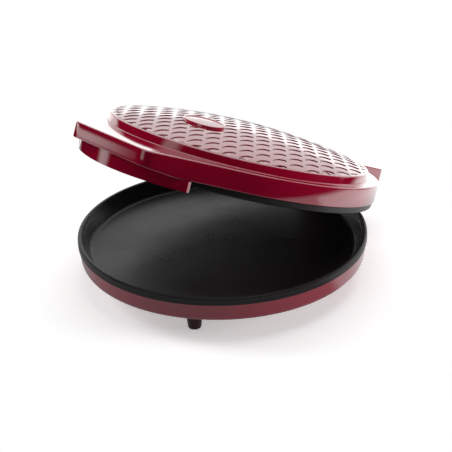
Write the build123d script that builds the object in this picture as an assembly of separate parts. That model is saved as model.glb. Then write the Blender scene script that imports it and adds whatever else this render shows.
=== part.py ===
"""Electric pizza maker: a round pan in a red base, under a hinged red lid with its own plate.

Millimetres, +Z up. The handle points to -Y and the hinge is at +Y. Every piece is modelled with the
centre of the pan over the origin, and the lid's pieces on the closed machine. At the end the lid is
turned open, and all pieces move to the shared frame, whose origin is on the table under the middle of
the open machine's box.
"""
from build123d import *
import os
from math import atan2, cos, hypot, radians, sin, sqrt

# Heights above the table
foot_height = 15.0
pan_rim_top = 52.0
pan_rim_height = 8.25
pan_floor_top = 34.0
lower_plate_thickness = 4.0
upper_plate_thickness = 2.2
lid_gap = 0.4
lid_skirt_bottom = 59.6
flange_top = 80.0
disc_edge_height = 8.2
dome_crown = 16.3

# Where the middle of the open machine's box lies behind the pan's centre
frame_centre_y = 22.2

# Radii and walls of the bowl, the pan and the lid
bowl_floor_radius = 133.0
bowl_knee_radius = 156.3
bowl_knee_height = 25.4
bowl_side_bottom = 28.0
bowl_rim_radius = 159.4
pan_rim_radius = 160.0
pan_floor_radius = 147.5
base_foot_circle = 157.5
skirt_radius = 158.0
disc_foot_radius = 145.6
disc_edge_radius = 144.0
wall = 2.4

# Lobes of the lid: handle at the front, hinge at the back
handle_front = -183.4
handle_half_width = 57.0
handle_skirt_bottom = 64.0
handle_ramp_end = -157.0
handle_flare_turn = 32.0
lobe_corner_radius = 4.5
rear_wall_back = 190.5
rear_wall_depth = 9.0
rear_wall_bottom = 53.8
rear_wall_back_top = 79.7
rear_half_width = 59.0
rear_lobe_front = 120.0
rear_lobe_front_top = 85.8
rear_side_thickness = 4.5
rear_side_round = 20.0
rear_flange_depth = 6.0

# Lattice of leaf-shaped dimples on the dome
dimple_pitch_x = 12.4
dimple_pitch_y = 12.0
dimple_phase_y = 3.35
dimple_half_length = 10.4
dimple_half_width = 4.3
dimple_depth = 0.7
lattice_radius = 141.0
badge_y = -60.0
badge_half_length = 27.0
badge_half_width = 18.0
badge_height = 2.6

# Grip under the handle
grip_radius = 137.0
grip_front = -178.5
grip_end_x = 86.0
grip_bottom = 48.6
grip_wall = 2.6
grip_shelf_bottom = 64.0
grip_shelf_thickness = 2.4

# Hinge
hinge_y = 181.9
hinge_z = 36.8
lid_open_angle = 20.26
pin_radius = 3.0
pin_running_gap = 0.05
bush_radius = 4.6
lug_radius = 13.0
arm_boss_radius = 10.5
arm_centre_x = 27.0
arm_width = 9.0
arm_side_gap = 0.5
arm_screw_height = 64.0
arm_screw_length = 6.4
arm_tongue = 4.0
arm_tongue_top = 75.0
tower_half_width = 39.5

# Feet, screws and heating parts
foot_x = 72.0
foot_y = 108.0
foot_top_radius = 8.5
foot_bottom_radius = 6.8
screw_radius = 2.0
screw_head_radius = 3.6
screw_head_height = 2.4
screw_clearance = 0.3
head_clearance = 0.6
foot_boss_radius = 5.0
foot_boss_top = 19.6
foot_screw_seat = 5.5
pillar_circle = 118.0
pillar_radius = 6.5
element_circle = 98.0
element_tube_radius = 3.3
reflector_thickness = 0.8
reflector_height = 20.0
tube_gap_angle = 14.0
tube_clearance = 0.1
strap_thickness = 1.0
strap_leg = 8.0
strap_screw_inset = 3.2
strap_screw_radius = 1.5
strap_screw_grip = 1.6
cord_bore_radius = 3.6
gland_angle = 118.0
gland_circle = 158.2
gland_height = 35.0
gland_radius = 7.0

plate_underside = pan_floor_top - lower_plate_thickness
pan_rim_bottom = pan_rim_top - pan_rim_height
disc_edge_top = flange_top + disc_edge_height
dome_top = disc_edge_top + dome_crown
dome_radius = (disc_edge_radius**2 + dome_crown**2) / (2 * dome_crown)
upper_ring_bottom = pan_rim_top + lid_gap
upper_face = 62.2
upper_back = upper_face + upper_plate_thickness
arm_slot_half = arm_width / 2 + arm_side_gap
arm_screw_seat = rear_wall_back - rear_wall_depth
tube_seat = element_tube_radius + tube_clearance
strap_reach = tube_seat + strap_leg
strap_screw_offset = strap_reach - strap_screw_inset
hinge_axis = Axis((0, hinge_y, hinge_z), (-1, 0, 0))
pillar_seat = foot_height + 3.0
quarter_angles = (45, 135, 225, 315)


def section(points, rounds=()):
    """Face in the XZ plane from (radius, height) corners; rounds lists (corner, radius) pairs."""
    face = make_face(Polyline(*points, close=True))
    for corner, radius in rounds:
        vertex = face.vertices().sort_by_distance((corner[0], corner[1], 0))[0]
        face = fillet(vertex, radius)
    return Plane.XZ * face


def turned(points, rounds=()):
    """Solid of revolution about Z."""
    return revolve(section(points, rounds), Axis.Z)


def rod(radius, low, high, x=0.0, y=0.0):
    """Upright cylinder between two heights."""
    return Pos(x, y, low) * Cylinder(radius, high - low, align=(Align.CENTER, Align.CENTER, Align.MIN))


def box(x0, x1, y0, y1, z0, z1):
    """Box between two corners."""
    return Pos(x0, y0, z0) * Box(x1 - x0, y1 - y0, z1 - z0, align=(Align.MIN, Align.MIN, Align.MIN))


def cross_rod(radius, x0, x1, y, z):
    """Cylinder along X between two stations."""
    return Pos((x0 + x1) / 2, y, z) * Rot(0, 90, 0) * Cylinder(radius, x1 - x0)


def on_circle(radius, angle):
    """Plan point at an angle from +X."""
    return radius * cos(radians(angle)), radius * sin(radians(angle))


def prism_x(face_yz, x0, x1):
    """Prism along X from a face drawn as (y, z)."""
    return extrude(Plane(origin=(x0, 0, 0), x_dir=(0, 1, 0), z_dir=(1, 0, 0)) * face_yz, x1 - x0)


def screw(x, y, head_low, tip):
    """Upright screw put in from below: a round head at head_low and a shank up to tip."""
    head = rod(screw_head_radius, head_low, head_low + screw_head_height, x, y)
    return head + rod(screw_radius, head_low + screw_head_height, tip, x, y)


# Base

def base_outline():
    """Outer body of the bowl, without its tower."""
    return turned(
        [(0, foot_height), (bowl_floor_radius, foot_height), (bowl_knee_radius, bowl_knee_height),
         (base_foot_circle, bowl_side_bottom), (bowl_rim_radius, pan_rim_bottom), (0, pan_rim_bottom)],
        [((bowl_floor_radius, foot_height), 6), ((bowl_knee_radius, bowl_knee_height), 2),
         ((base_foot_circle, bowl_side_bottom), 3)],
    )


def base_cavity():
    """Room inside the bowl, one wall thinner all round and open at the top."""
    floor = foot_height + wall
    floor_radius = bowl_floor_radius - 0.6
    knee = (bowl_knee_radius - 2.7, bowl_knee_height + 1.5)
    side = (base_foot_circle - wall, bowl_side_bottom + 1)
    return turned(
        [(0, floor), (floor_radius, floor), knee, side,
         (bowl_rim_radius - wall, pan_rim_bottom + 1), (0, pan_rim_bottom + 1)],
        [((floor_radius, floor), 4), (side, 3)],
    )


def tower_block():
    """Hinge tower behind the bowl, rounded about the pin."""
    barrel = Pos(hinge_y, hinge_z) * Circle(lug_radius)
    heel = Pos(180.5, 20.5) * Circle(4)
    front = make_face(Polyline((148, 17.5), (152, 17.5), (152, 43), (148, 43), close=True))
    profile = make_hull(barrel.edges() + heel.edges() + front.edges())
    block = prism_x(profile, -tower_half_width, tower_half_width)
    return block - rod(pan_rim_radius + 0.4, pan_rim_bottom, 60)


def base_shell():
    """Red bowl with its hinge tower, foot bosses, screw pillars and cord inlet."""
    shell = base_outline() + tower_block()
    for x, y in foot_places():
        shell += rod(foot_top_radius + 1.5, foot_height, bowl_knee_height - wall, x, y)
    shell -= base_cavity()
    for angle in quarter_angles:
        x, y = on_circle(pillar_circle, angle)
        shell += rod(pillar_radius, foot_height, reflector_height, x, y)
        shell -= rod(screw_head_radius + head_clearance, foot_height - 1, pillar_seat, x, y)
        shell -= rod(screw_radius + screw_clearance, foot_height, reflector_height + 1, x, y)
    for x, y in foot_places():
        shell += rod(foot_boss_radius, foot_height + 1, foot_boss_top, x, y)
        shell -= rod(screw_radius, foot_height - 1, reflector_height, x, y)
    for side in (-1, 1):
        shell -= arm_slot(side * arm_centre_x)
    shell -= box(-16, 16, 140, 170, 20.5, 36)
    shell -= cross_rod(pin_radius, -tower_half_width - 1, tower_half_width + 1, hinge_y, hinge_z)
    return shell - gland_place() * Pos(0, 0, -20) * Cylinder(gland_radius, 60)


def arm_slot(centre):
    """Slot in the tower in which one arm swings."""
    front = hinge_y - arm_boss_radius - 2.0
    floor = hinge_z - arm_boss_radius - 2.0
    return box(centre - arm_slot_half, centre + arm_slot_half, front, hinge_y + 20, floor, 60)


def foot_places():
    """Plan places of the four feet."""
    return [(sx * foot_x, sy * foot_y) for sy in (-1, 1) for sx in (-1, 1)]


def foot(x, y):
    """Tapered foot with a rounded sole and a sunk screw hole."""
    body = turned(
        [(0, 0), (foot_bottom_radius, 0), (foot_top_radius, foot_height), (0, foot_height)],
        [((foot_bottom_radius, 0), 1.8)],
    )
    body -= rod(screw_head_radius + 0.4, -1, foot_screw_seat)
    body -= rod(screw_radius + 0.2, 0, foot_height + 1)
    return Pos(x, y, 0) * body


def foot_screws():
    """One screw through each foot into its boss."""
    head_low = foot_screw_seat - screw_head_height
    return [screw(x, y, head_low, foot_boss_top - 0.4) for x, y in foot_places()]


def lower_plate():
    """Non-stick pan with a rolled rim, a lip over the bowl and cast bosses below."""
    rim_top = pan_rim_top
    pan = turned(
        [(0, plate_underside), (145.4, plate_underside), (152.9, 46.8), (154.8, 49.3), (157.4, 49.3),
         (157.4, pan_rim_bottom), (pan_rim_radius, pan_rim_bottom), (pan_rim_radius, rim_top),
         (155.9, rim_top), (pan_floor_radius, pan_floor_top), (0, pan_floor_top)],
        [((pan_rim_radius, rim_top), 2.0), ((155.9, rim_top), 1.6), ((pan_floor_radius, pan_floor_top), 7.0),
         ((145.4, plate_underside), 6.0)],
    )
    pan = Rot(0, 0, 180) * pan
    boss_bottom = reflector_height + reflector_thickness
    for angle in quarter_angles:
        x, y = on_circle(pillar_circle, angle)
        pan += rod(5.0, boss_bottom, plate_underside + 1, x, y)
        pan -= rod(screw_radius, boss_bottom - 1, plate_underside + 0.5, x, y)
    return pan


def lower_plate_screws():
    """Screws from under the bowl into the bosses of the pan."""
    places = [on_circle(pillar_circle, angle) for angle in quarter_angles]
    head_low = pillar_seat - screw_head_height
    return [screw(x, y, head_low, plate_underside - 1) for x, y in places]


def heating_element(centre_height):
    """Sheathed heating tube: an open ring whose two cold ends run back side by side."""
    ring = revolve(
        Plane.XZ * Pos(element_circle, centre_height) * Circle(element_tube_radius),
        Axis.Z, revolution_arc=360 - 2 * tube_gap_angle,
    )
    ring = Rot(0, 0, 90 + tube_gap_angle) * ring
    for side in (-1, 1):
        x, y = on_circle(element_circle, 90 + side * tube_gap_angle)
        ring += Pos(x, y, centre_height) * Sphere(element_tube_radius)
        ring += Pos(x, y + 11, centre_height) * Rot(90, 0, 0) * Cylinder(element_tube_radius, 22)
        ring += Pos(x, y + 26, centre_height) * Rot(90, 0, 0) * Cylinder(1.6, 10)
    return ring


def clamp_angles():
    """Angles of the straps that hold a heating tube."""
    return (0, 90 + 40, 180, 270)


def element_clamps(seat, direction):
    """Bent straps over the tube; direction is -1 below a plate and +1 above it."""
    strap = strap_thickness
    half = tube_seat
    reach = strap_reach
    depth = 2 * half + strap
    outline = Polyline((-reach, 0), (-half - strap, 0), (-half - strap, depth), (half + strap, depth),
                       (half + strap, 0), (reach, 0), (reach, strap), (half + 2 * strap, strap),
                       (half + 2 * strap, depth + strap), (-half - 2 * strap, depth + strap),
                       (-half - 2 * strap, strap), (-reach, strap), close=True)
    clamps = []
    for angle in clamp_angles():
        strip = extrude(Plane.XZ * make_face(outline), 5, both=True)
        for side in (-1, 1):
            strip -= rod(strap_screw_radius + 0.2, -1, 3, side * strap_screw_offset)
        strip = strip if direction > 0 else strip.mirror(Plane.XY)
        clamps.append(Pos(0, 0, seat) * Rot(0, 0, angle) * Pos(element_circle, 0, 0) * strip)
    return clamps


def clamp_screws(seat, direction):
    """Two short screws for each strap, with their heads on the strap."""
    head = rod(2.6, strap_thickness, strap_thickness + 1.6)
    shank = rod(strap_screw_radius, -strap_screw_grip, strap_thickness)
    one = head + shank
    one = one if direction > 0 else Rot(180, 0, 0) * one
    return [Pos(x, y, seat) * one for x, y in strap_screw_places()]


def strap_screw_places():
    """Plan places of the strap screws, two for each strap."""
    circles = (element_circle - strap_screw_offset, element_circle + strap_screw_offset)
    return [on_circle(circle, angle) for angle in clamp_angles() for circle in circles]


def drilled_for_clamps(plate, seat, direction):
    """Blind holes in a plate for the strap screws."""
    low = seat - strap_screw_grip if direction > 0 else seat
    for x, y in strap_screw_places():
        plate -= rod(strap_screw_radius, low, low + strap_screw_grip, x, y)
    return plate


def lower_reflector():
    """Bright sheet dish under the lower heating tube."""
    low = reflector_height
    dish = turned([(22, low), (131, low), (141, 26.5), (140.3, 27.2), (130.6, low + reflector_thickness),
                   (22, low + reflector_thickness)])
    for angle in quarter_angles:
        x, y = on_circle(pillar_circle, angle)
        dish -= rod(screw_radius + screw_clearance, low - 1, low + 2, x, y)
    return dish - box(-60, -24, 104, 150, low - 3, low + 12)


def thermostat():
    """Disc thermostat pressed against the back of the pan, with two tabs."""
    body = rod(8, 24.2, plate_underside, 40, 30)
    body += rod(10.5, plate_underside - 1.2, plate_underside, 40, 30)
    for side in (-1, 1):
        body += box(40 + side * 4 - 0.4, 40 + side * 4 + 0.4, 27, 33, 21.6, 24.2)
    return body


def thermal_fuse():
    """Small fuse capsule in a saddle on the back of the pan."""
    capsule = cross_rod(2.2, -52, -38, 30, plate_underside - 3.4)
    saddle = box(-48, -42, 27.2, 32.8, plate_underside - 6.2, plate_underside)
    ends = cross_rod(0.6, -58, -32, 30, plate_underside - 3.4)
    return [capsule + saddle + ends]


def terminal_block():
    """Three-way terminal block on the floor of the bowl, near the cord inlet."""
    low = foot_height + wall
    block = box(-56, -29, 108, 118, low, low + 9)
    block = fillet(block.edges().filter_by(Axis.Y), 1.0)
    for step in range(3):
        x = -51.5 + 9 * step
        block -= rod(1.8, low + 5, low + 10, x, 113)
        block -= Pos(x, 113, low + 4.2) * Rot(90, 0, 0) * Cylinder(1.6, 20)
    return block


def gland_place():
    """Place on the bowl's wall where the cord would enter, its own Z pointing outwards."""
    x, y = on_circle(gland_circle, gland_angle)
    return Plane(origin=(x, y, gland_height), z_dir=(x, y, 0), x_dir=(-y, x, 0)).location


def cord_gland():
    """Bush that lines the cord inlet: collar, barrel and inner snap ring."""
    bush = Cylinder(gland_radius, 9.0)
    bush += Pos(0, 0, 3.0) * Cylinder(gland_radius + 1, 3.0)
    bush = fillet(bush.edges().group_by(Axis.Z)[-1], 1.0)
    bush -= Cylinder(cord_bore_radius, 40)
    return gland_place() * Rot(0, 0, 90) * bush


def hinge_pin():
    """Steel pin through the lugs of the tower."""
    return cross_rod(pin_radius, -tower_half_width, tower_half_width, hinge_y, hinge_z)


def pin_caps():
    """Push-on caps over the two ends of the pin."""
    caps = []
    for side in (-1, 1):
        start = side * tower_half_width
        cap = Pos(start + side * 1.0, hinge_y, hinge_z) * Rot(0, 90, 0) * Cylinder(5.2, 2.0)
        caps.append(cap)
    return caps


# Lid, modelled closed

def handle_flare():
    """Concave side of the handle lobe: an arc from its corner that ends tangent to the round skirt.

    Gives the arc's middle point and its end.
    """
    far = hypot(handle_half_width, handle_front)
    end_angle = atan2(handle_front, handle_half_width) + radians(handle_flare_turn)
    reach = far * cos(radians(handle_flare_turn))
    arc_radius = (skirt_radius**2 + far**2 - 2 * skirt_radius * reach) / (2 * reach - 2 * skirt_radius)
    towards_end = Vector(cos(end_angle), sin(end_angle))
    centre = towards_end * (skirt_radius + arc_radius)
    end = towards_end * skirt_radius
    halfway = (Vector(handle_half_width, handle_front) + end) / 2 - centre
    return centre + halfway.normalized() * arc_radius, end


def mirrored(point):
    """The same plan point on the other side of the machine."""
    return Vector(-point.X, point.Y)


def lid_outline():
    """Plan of the lid without the hinge lobe: a circle that sweeps out into the handle lobe."""
    corner = Vector(handle_half_width, handle_front)
    middle, end = handle_flare()
    edges = [
        Line(mirrored(corner), corner),
        ThreePointArc(corner, middle, end),
        ThreePointArc(end, Vector(0, skirt_radius), mirrored(end)),
        ThreePointArc(mirrored(end), mirrored(middle), mirrored(corner)),
    ]
    face = make_face(edges)
    return fillet(face.vertices().sort_by(Axis.Y)[:2], lobe_corner_radius)


def dome_height(radius, ball=None):
    """Height of the dome's surface at a radius from the lid's centre."""
    ball = ball or dome_radius
    return dome_top - dome_radius + sqrt(ball**2 - radius**2)


def disc_section(inset, low):
    """Half section of the raised disc and its dome, moved in by inset, down to low."""
    ball = dome_radius - inset
    edge = disc_edge_radius - inset
    crown = (0, dome_height(0, ball))
    middle = (edge / 2, dome_height(edge / 2, ball))
    rim = (edge, dome_height(edge, ball))
    arc = ThreePointArc(crown, middle, rim)
    rest = Polyline(rim, (disc_foot_radius - inset, flange_top - inset), (disc_foot_radius - inset, low),
                    (0, low), crown)
    face = make_face([arc] + list(rest.edges()))
    if not inset:
        corner = face.vertices().sort_by_distance((rim[0], rim[1], 0))[0]
        face = fillet(corner, 1.4)
    return Plane.XZ * face


def hinge_lobe():
    """Straight-sided block behind the round: its top slopes down from the disc to the back wall."""
    roof = flange_top - rear_flange_depth
    wide = rear_half_width
    side = make_face(Polyline((rear_lobe_front, roof), (rear_lobe_front, rear_lobe_front_top),
                              (rear_wall_back, rear_wall_back_top), (rear_wall_back, rear_wall_bottom),
                              (arm_screw_seat, rear_wall_bottom), (arm_screw_seat - 3, roof), close=True))
    plan = make_face(Polyline((-wide, rear_lobe_front), (-wide, rear_wall_back), (wide, rear_wall_back),
                              (wide, rear_lobe_front), close=True))
    plan = fillet(plan.vertices().group_by(Axis.Y)[-1], lobe_corner_radius)
    lobe = prism_x(side, -wide, wide) & extrude(Pos(0, 0, rear_wall_bottom - 5) * plan, 60)
    top = lobe.faces().sort_by(Axis.Z)[-1]
    lobe = fillet([edge for edge in top.edges() if edge.center().Y > rear_lobe_front + 1], 1.5)
    for end in (-1, 1):
        lobe += lobe_side(end)
    return lobe


def lobe_side(side):
    """Side web of the hinge lobe, with a round between the flange and the hanging wall."""
    roof = flange_top - rear_flange_depth
    start = arm_screw_seat - rear_side_round
    low = roof - rear_side_round
    bend = rear_side_round * (1 - cos(radians(45)))
    web = make_face([
        Line((start, roof + 1), (start, roof)),
        ThreePointArc((start, roof), (arm_screw_seat - bend, roof - bend), (arm_screw_seat, low)),
        Line((arm_screw_seat, low), (arm_screw_seat + 1, low)),
        Line((arm_screw_seat + 1, low), (arm_screw_seat + 1, roof + 1)),
        Line((arm_screw_seat + 1, roof + 1), (start, roof + 1)),
    ])
    outer = side * rear_half_width
    inner = side * (rear_half_width - rear_side_thickness)
    return prism_x(web, min(outer, inner), max(outer, inner))


def lid_block():
    """Outer form of the flange, the skirt and the hinge lobe with its hanging wall, still solid."""
    round_part = extrude(Pos(0, 0, lid_skirt_bottom) * lid_outline(), flange_top - lid_skirt_bottom)
    round_part = fillet(round_part.edges().group_by(Axis.Z)[-1], 1.8)
    return round_part + hinge_lobe()


def lid_shell():
    """Red lid: domed disc, flange, skirt, handle lobe, hinge lobe and its hanging back wall."""
    shell = lid_block()
    shell += revolve(disc_section(0, flange_top - 3), Axis.Z)
    inner_plan = offset(lid_outline(), -wall)
    shell -= extrude(Pos(0, 0, lid_skirt_bottom - 1) * inner_plan, flange_top - wall - lid_skirt_bottom + 1)
    shell -= revolve(disc_section(wall, flange_top - 2 * wall), Axis.Z)
    shell -= rear_pockets()
    shell -= handle_skirt_ramp()
    for angle in quarter_angles:
        x, y = on_circle(pillar_circle, angle)
        pillar = rod(5.0, upper_back, dome_top, x, y) & revolve(disc_section(wall / 2, 60), Axis.Z)
        shell += pillar
        shell -= rod(screw_radius, upper_back - 1, upper_back + 14, x, y)
    for x, y in grip_screw_places():
        shell += rod(4.5, grip_shelf_bottom + grip_shelf_thickness, flange_top - wall / 2, x, y)
        shell -= rod(screw_radius, grip_shelf_bottom, 76, x, y)
    return shell


def handle_skirt_ramp():
    """Block under the handle lobe; the skirt is shallower at the front and deepens towards the round."""
    profile = make_face(Polyline((-200, 40), (-200, handle_skirt_bottom), (handle_front, handle_skirt_bottom),
                                 (handle_ramp_end, lid_skirt_bottom), (handle_ramp_end, 40), close=True))
    return prism_x(profile, -130, 130)


def rear_pockets():
    """Hollows that lighten the hinge lobe: one in the hanging wall, one under the flange."""
    in_wall = box(-rear_half_width + 4, rear_half_width - 4, arm_screw_seat + 2.2, rear_wall_back - 2.2,
                  rear_wall_bottom - 1, flange_top - wall)
    under_flange = box(-48, 48, 162, 174, flange_top - rear_flange_depth - 1, flange_top - wall)
    return in_wall + under_flange


def lattice_places():
    """Plan places of the dimples, staggered like the joints of a brick wall."""
    places = []
    for column in range(-12, 13):
        for row in range(-13, 13):
            x = column * dimple_pitch_x
            y = dimple_phase_y + row * dimple_pitch_y
            under_badge = (x / badge_half_length) ** 2 + ((y - badge_y) / badge_half_width) ** 2 < 0.45
            if (column + row) % 2 == 0 and hypot(x, y) < lattice_radius - 3 and not under_badge:
                places.append((x, y))
    return places


def dimple_cutter():
    """Leaf-shaped boat, flat below, whose sides lean outwards; its top lies above the dome."""
    def leaf(scale, height):
        shoulder_x = 0.91 * dimple_half_width * scale
        shoulder_y = 0.35 * dimple_half_length * scale
        tip = dimple_half_length * scale
        points = [(0, tip), (shoulder_x, shoulder_y), (shoulder_x, -shoulder_y), (0, -tip),
                  (-shoulder_x, -shoulder_y), (-shoulder_x, shoulder_y)]
        return Pos(0, 0, height) * make_face(Polyline(*points, close=True))
    return loft([leaf(0.8, -dimple_depth), leaf(1.1, dimple_depth / 2)], ruled=True)


def lattice_cutters():
    """Dimple cutters laid square on the dome; those at the edge stop at the lattice's circle."""
    cutter = dimple_cutter()
    limit = rod(lattice_radius, 60, 120)
    cutters = []
    for x, y in lattice_places():
        z = dome_height(hypot(x, y))
        normal = Vector(x, y, z - dome_top + dome_radius).normalized()
        across = Vector(0, 1, 0).cross(normal).normalized()
        placed = Plane(origin=(x, y, z), x_dir=across, z_dir=normal).location * cutter
        if hypot(x, y) > lattice_radius - dimple_half_length:
            placed &= limit
        cutters.append(placed)
    return cutters


def badge_plate():
    """Bare oval plate on the dome, between the handle and the crown, with a rim round its field."""
    centre_z = dome_top - dome_radius
    plan = Pos(0, badge_y, 85) * Ellipse(badge_half_length, badge_half_width)
    field = Pos(0, badge_y, 85) * Ellipse(badge_half_length - 3, badge_half_width - 3)
    ball = Pos(0, 0, centre_z)
    plate = extrude(plan, 30) & (ball * (Sphere(dome_radius + badge_height) - Sphere(dome_radius)))
    plate = chamfer(plate.edges().group_by(Axis.Z)[-1], 0.8)
    return plate - (extrude(field, 30) - ball * Sphere(dome_radius + badge_height - 0.8))


def grip_screw_places():
    """Plan places of the two screws that hold the grip."""
    return [(-34, -165), (34, -165)]


def handle_grip():
    """Curved wall under the handle with the shelf that closes the handle's underside."""
    centre_y = grip_front + grip_radius
    shelf_top = grip_shelf_bottom + grip_shelf_thickness
    wall_top = lid_skirt_bottom - 0.3
    ring = Pos(0, centre_y) * (Circle(grip_radius) - Circle(grip_radius - grip_wall))
    ring &= Pos(0, centre_y) * Rectangle(2 * grip_end_x, 2 * grip_radius, align=(Align.CENTER, Align.MAX))
    inside = offset(lid_outline(), -wall - 0.15)
    inside &= Pos(0, -120) * Rectangle(300, 100, align=(Align.CENTER, Align.MAX))
    grip = extrude(Pos(0, 0, grip_bottom) * ring, wall_top - grip_bottom)
    grip += extrude(Pos(0, 0, wall_top) * (ring & inside), shelf_top - wall_top)
    grip += extrude(Pos(0, 0, grip_shelf_bottom) * (inside - Circle(153)), grip_shelf_thickness)
    for x, y in grip_screw_places():
        grip -= rod(screw_radius + 0.3, 60, 68, x, y)
    return grip


def grip_screws():
    """Two screws up through the grip's shelf."""
    return [screw(x, y, grip_shelf_bottom - screw_head_height, 75) for x, y in grip_screw_places()]


def upper_plate():
    """Non-stick plate in the lid, dished, with the dark ring that meets the pan."""
    ring_top = lid_skirt_bottom - 0.6
    plate = turned(
        [(0, upper_back), (146.5, upper_back), (149.2, 63), (154.8, 63), (154.8, ring_top), (156.6, ring_top),
         (155.8, upper_ring_bottom), (151.8, upper_ring_bottom), (147, upper_face), (0, upper_face)],
        [((155.8, upper_ring_bottom), 1.8), ((151.8, upper_ring_bottom), 1.2), ((147, upper_face), 5.0)],
    )
    for angle in quarter_angles:
        x, y = on_circle(pillar_circle, angle)
        plate -= rod(screw_radius + 0.3, upper_face - 1, upper_back + 1, x, y)
        plate -= rod(screw_head_radius + 0.4, upper_face - 1, upper_face + 1.4, x, y)
    return plate


def upper_plate_screws():
    """Flat-headed screws from the cooking side into the lid's pillars."""
    screws = []
    for angle in quarter_angles:
        x, y = on_circle(pillar_circle, angle)
        screws.append(rod(screw_head_radius, upper_face, upper_face + 1.4, x, y)
                      + rod(screw_radius, upper_face + 1.4, upper_back + 12, x, y))
    return screws


def upper_reflector():
    """Bright sheet over the upper heating tube."""
    low = upper_back + 9.5
    dish = turned([(22, low), (133, low), (141, low - 6.0), (141.7, low - 5.3),
                   (133.4, low + reflector_thickness), (22, low + reflector_thickness)])
    for angle in quarter_angles:
        x, y = on_circle(pillar_circle, angle)
        dish -= rod(5.3, low - 1, low + 2, x, y)
    return dish


def upper_thermal_fuse():
    """Fuse capsule in a saddle on the back of the upper plate."""
    capsule = cross_rod(2.2, 38, 52, 30, upper_back + 3.4)
    saddle = box(42, 48, 27.2, 32.8, upper_back, upper_back + 6.2)
    ends = cross_rod(0.6, 32, 58, 30, upper_back + 3.4)
    return [capsule + saddle + ends]


def hinge_arm(side):
    """Arm from the lid's back wall down to the pin, with a tongue inside the wall."""
    boss = Pos(hinge_y, hinge_z) * Circle(arm_boss_radius)
    foot = rear_wall_bottom
    neck = make_face(Polyline((hinge_y - 8.5, hinge_z + 3), (hinge_y - 0.2, foot),
                              (rear_wall_back - 0.4, foot), (hinge_y + 9.6, hinge_z + 3), close=True))
    front = arm_screw_seat + 2.5
    tongue = make_face(Polyline((front, foot - 1), (front + arm_tongue, foot - 1),
                                (front + arm_tongue, arm_tongue_top), (front, arm_tongue_top), close=True))
    centre = side * arm_centre_x
    arm = prism_x(boss + neck + tongue, centre - arm_width / 2, centre + arm_width / 2)
    arm -= cross_rod(bush_radius, centre - arm_width, centre + arm_width, hinge_y, hinge_z)
    hole = Pos(centre, front + arm_tongue / 2, arm_screw_height) * Rot(90, 0, 0)
    return arm - hole * Cylinder(screw_radius, arm_tongue + 2)


def hinge_bush(side):
    """Bush in the arm that runs on the pin."""
    centre = side * arm_centre_x
    bush = cross_rod(bush_radius, centre - arm_width / 2, centre + arm_width / 2, hinge_y, hinge_z)
    bore = pin_radius + pin_running_gap
    return bush - cross_rod(bore, centre - arm_width, centre + arm_width, hinge_y, hinge_z)


def hinge_arm_screws():
    """One screw through the back wall's inner skin into each arm's tongue."""
    screws = []
    for side in (-1, 1):
        face = Pos(side * arm_centre_x, arm_screw_seat, arm_screw_height) * Rot(90, 0, 0)
        head = face * Pos(0, 0, screw_head_height / 2) * Cylinder(screw_head_radius, screw_head_height)
        shank = face * Pos(0, 0, -arm_screw_length / 2) * Cylinder(screw_radius, arm_screw_length)
        screws.append(head + shank)
    return screws


def drilled_for_arms(shell):
    """Holes with flat seats in the back wall's inner skin for the arm screws."""
    for side in (-1, 1):
        face = Pos(side * arm_centre_x, arm_screw_seat, arm_screw_height) * Rot(90, 0, 0)
        shell -= face * Pos(0, 0, -1) * Cylinder(screw_radius, 4)
        shell -= face * Pos(0, 0, 5) * Cylinder(screw_head_radius + 0.5, 10)
    return shell


def opened(piece):
    """Turn a piece of the closed lid to the open rest position."""
    return piece.rotate(hinge_axis, lid_open_angle)


def write_piece(name, piece):
    """Write one node's file in the shared frame; a list of equal small pieces shares a node."""
    to_frame = Pos(0, -frame_centre_y, 0)
    if isinstance(piece, list):
        shape = Compound(children=[Solid((to_frame * one).solid().wrapped) for one in piece])
    else:
        shape = to_frame * piece
    shape.label = name
    export_step(shape, f"parts/{name}.step")


def base_pieces():
    """Every piece that stays on the table."""
    below = plate_underside
    tube_height = below - tube_seat
    pieces = {
        "base_shell": base_shell(),
        "foot_screws": foot_screws(),
        "lower_plate": drilled_for_clamps(lower_plate(), below, -1),
        "lower_plate_screws": lower_plate_screws(),
        "lower_heating_element": heating_element(tube_height),
        "lower_element_clamps": element_clamps(below, -1),
        "lower_clamp_screws": clamp_screws(below, -1),
        "lower_reflector": lower_reflector(),
        "thermostat": thermostat(),
        "thermal_fuse": thermal_fuse(),
        "terminal_block": terminal_block(),
        "cord_gland": cord_gland(),
        "hinge_pin": hinge_pin(),
        "hinge_pin_caps": pin_caps(),
    }
    names = ("foot_front_left", "foot_front_right", "foot_rear_left", "foot_rear_right")
    for name, (x, y) in zip(names, foot_places()):
        pieces[name] = foot(x, y)
    return pieces


def lid_pieces():
    """Every piece that turns with the lid, closed."""
    tube_height = upper_back + tube_seat
    return {
        "lid_shell": drilled_for_arms(lid_shell() - lattice_cutters()),
        "badge_plate": badge_plate(),
        "handle_grip": handle_grip(),
        "grip_screws": grip_screws(),
        "upper_plate": drilled_for_clamps(upper_plate(), upper_back, 1),
        "upper_plate_screws": upper_plate_screws(),
        "upper_heating_element": heating_element(tube_height),
        "upper_element_clamps": element_clamps(upper_back, 1),
        "upper_clamp_screws": clamp_screws(upper_back, 1),
        "upper_reflector": upper_reflector(),
        "upper_thermal_fuse": upper_thermal_fuse(),
        "hinge_arm_left": hinge_arm(-1),
        "hinge_arm_right": hinge_arm(1),
        "hinge_arm_screws": hinge_arm_screws(),
        "hinge_bush_left": hinge_bush(-1),
        "hinge_bush_right": hinge_bush(1),
    }


def main():
    """Build every piece and write its file."""
    os.makedirs("parts", exist_ok=True)
    for name, piece in base_pieces().items():
        write_piece(name, piece)
    for name, piece in lid_pieces().items():
        if isinstance(piece, list):
            write_piece(name, [opened(p) for p in piece])
        else:
            write_piece(name, opened(piece))


main()
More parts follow.
